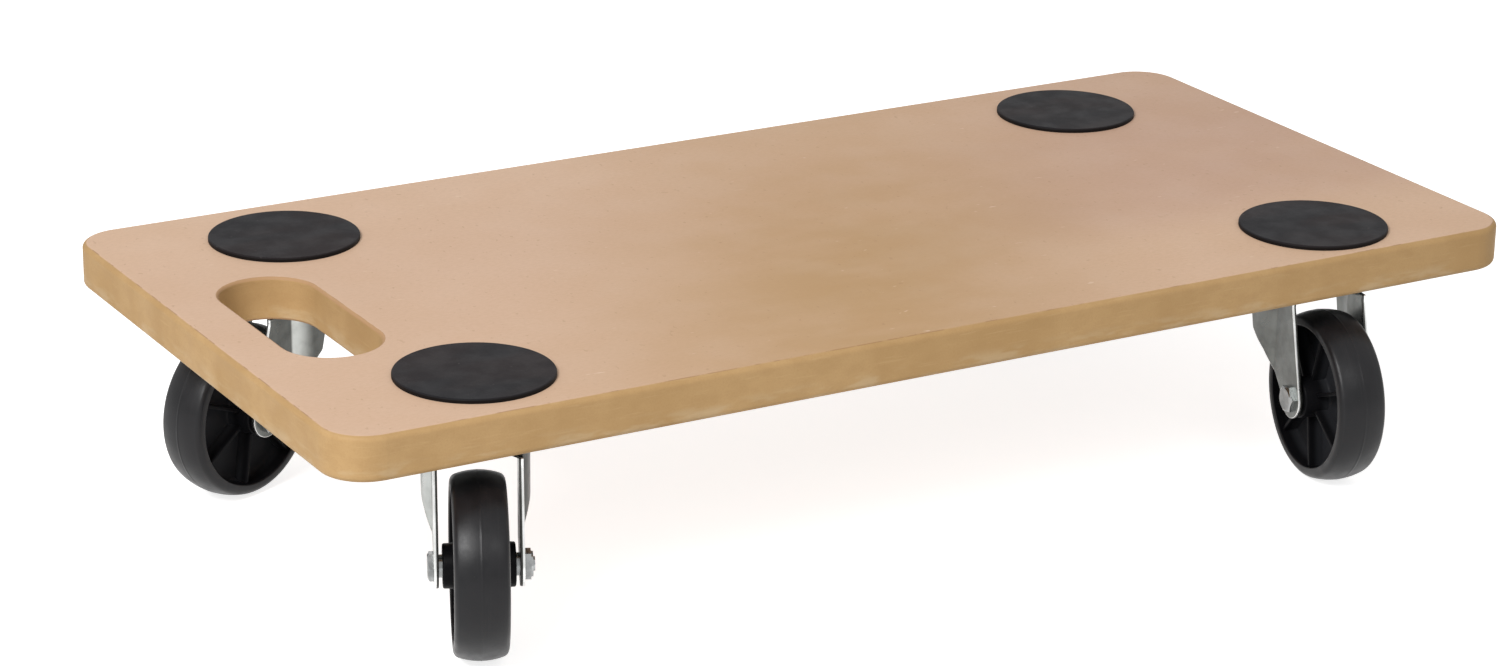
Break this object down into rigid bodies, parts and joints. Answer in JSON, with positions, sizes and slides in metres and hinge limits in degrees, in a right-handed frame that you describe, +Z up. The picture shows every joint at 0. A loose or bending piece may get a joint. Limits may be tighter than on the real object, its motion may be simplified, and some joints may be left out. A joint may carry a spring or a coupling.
{
  "type": "furniture dolly",
  "caption": "Rounded rectangular wooden board with an oblong hand hole at one end and round rubber grip pads, on swivel plate casters with black plastic wheels.",
  "frame": {"origin": "on the floor, under the middle of the board", "axes": "+X along the board's length, away from the hand hole; +Y along its width, from the front side to the back side; +Z up"},
  "size_m": [0.5792, 0.3328, 0.1111],
  "materials": {
    "board": "smooth sealed fibre board",
    "pad_rubber": "matt black rubber",
    "wheel_plastic": "satin moulded plastic",
    "zinc_sheet": "zinc plated pressed sheet",
    "zinc_hardware": "bright zinc plate",
    "ball_steel": "polished ball steel"
  },
  "bodies": {
    "deck": {"deck_board": "board", "grip_pad_front_left": "pad_rubber", "grip_pad_front_right": "pad_rubber", "grip_pad_back_left": "pad_rubber", "grip_pad_back_right": "pad_rubber", "top_plate_front_left": "zinc_sheet", "top_plate_front_right": "zinc_sheet", "top_plate_back_left": "zinc_sheet", "top_plate_back_right": "zinc_sheet", "plate_screws_front_left": "zinc_hardware", "plate_screws_front_right": "zinc_hardware", "plate_screws_back_left": "zinc_hardware", "plate_screws_back_right": "zinc_hardware", "kingpin_front_left": "zinc_hardware", "kingpin_front_right": "zinc_hardware", "kingpin_back_left": "zinc_hardware", "kingpin_back_right": "zinc_hardware", "race_cup_front_left": "zinc_sheet", "race_cup_front_right": "zinc_sheet", "race_cup_back_left": "zinc_sheet", "race_cup_back_right": "zinc_sheet"},
    "caster_front_left": {"fork_front_left": "zinc_sheet", "upper_balls_front_left": "ball_steel", "lower_balls_front_left": "ball_steel", "axle_sleeve_front_left": "zinc_hardware", "axle_bolt_front_left": "zinc_hardware", "axle_nut_front_left": "zinc_hardware"},
    "road_wheel_front_left": {"wheel_front_left": "wheel_plastic"},
    "caster_front_right": {"fork_front_right": "zinc_sheet", "upper_balls_front_right": "ball_steel", "lower_balls_front_right": "ball_steel", "axle_sleeve_front_right": "zinc_hardware", "axle_bolt_front_right": "zinc_hardware", "axle_nut_front_right": "zinc_hardware"},
    "road_wheel_front_right": {"wheel_front_right": "wheel_plastic"},
    "caster_back_left": {"fork_back_left": "zinc_sheet", "upper_balls_back_left": "ball_steel", "lower_balls_back_left": "ball_steel", "axle_sleeve_back_left": "zinc_hardware", "axle_bolt_back_left": "zinc_hardware", "axle_nut_back_left": "zinc_hardware"},
    "road_wheel_back_left": {"wheel_back_left": "wheel_plastic"},
    "caster_back_right": {"fork_back_right": "zinc_sheet", "upper_balls_back_right": "ball_steel", "lower_balls_back_right": "ball_steel", "axle_sleeve_back_right": "zinc_hardware", "axle_bolt_back_right": "zinc_hardware", "axle_nut_back_right": "zinc_hardware"},
    "road_wheel_back_right": {"wheel_back_right": "wheel_plastic"}
  },
  "joints": [
    {"name": "swivel_front_left", "type": "hinge", "parent": "deck", "child": "caster_front_left", "pos_m": [-0.208, -0.0939, 0.0792], "axis": [0, 0, 1], "continuous": true},
    {"name": "wheel_spin_front_left", "type": "hinge", "parent": "caster_front_left", "child": "road_wheel_front_left", "pos_m": [-0.22159, -0.12441, 0.0385], "axis": [0.9135, -0.4067, 0], "continuous": true},
    {"name": "swivel_front_right", "type": "hinge", "parent": "deck", "child": "caster_front_right", "pos_m": [0.2056, -0.0952, 0.0792], "axis": [0, 0, 1], "continuous": true},
    {"name": "wheel_spin_front_right", "type": "hinge", "parent": "caster_front_right", "child": "road_wheel_front_right", "pos_m": [0.19957, -0.12805, 0.0385], "axis": [0.9836, -0.1805, 0], "continuous": true},
    {"name": "swivel_back_left", "type": "hinge", "parent": "deck", "child": "caster_back_left", "pos_m": [-0.2067, 0.0958, 0.0792], "axis": [0, 0, 1], "continuous": true},
    {"name": "wheel_spin_back_left", "type": "hinge", "parent": "caster_back_left", "child": "road_wheel_back_left", "pos_m": [-0.23721, 0.08221, 0.0385], "axis": [0.4067, -0.9135, 0], "continuous": true},
    {"name": "swivel_back_right", "type": "hinge", "parent": "deck", "child": "caster_back_right", "pos_m": [0.2056, 0.0952, 0.0792], "axis": [0, 0, 1], "continuous": true},
    {"name": "wheel_spin_back_right", "type": "hinge", "parent": "caster_back_right", "child": "road_wheel_back_right", "pos_m": [0.19957, 0.12805, 0.0385], "axis": [-0.9836, -0.1805, 0], "continuous": true}
  ]
}
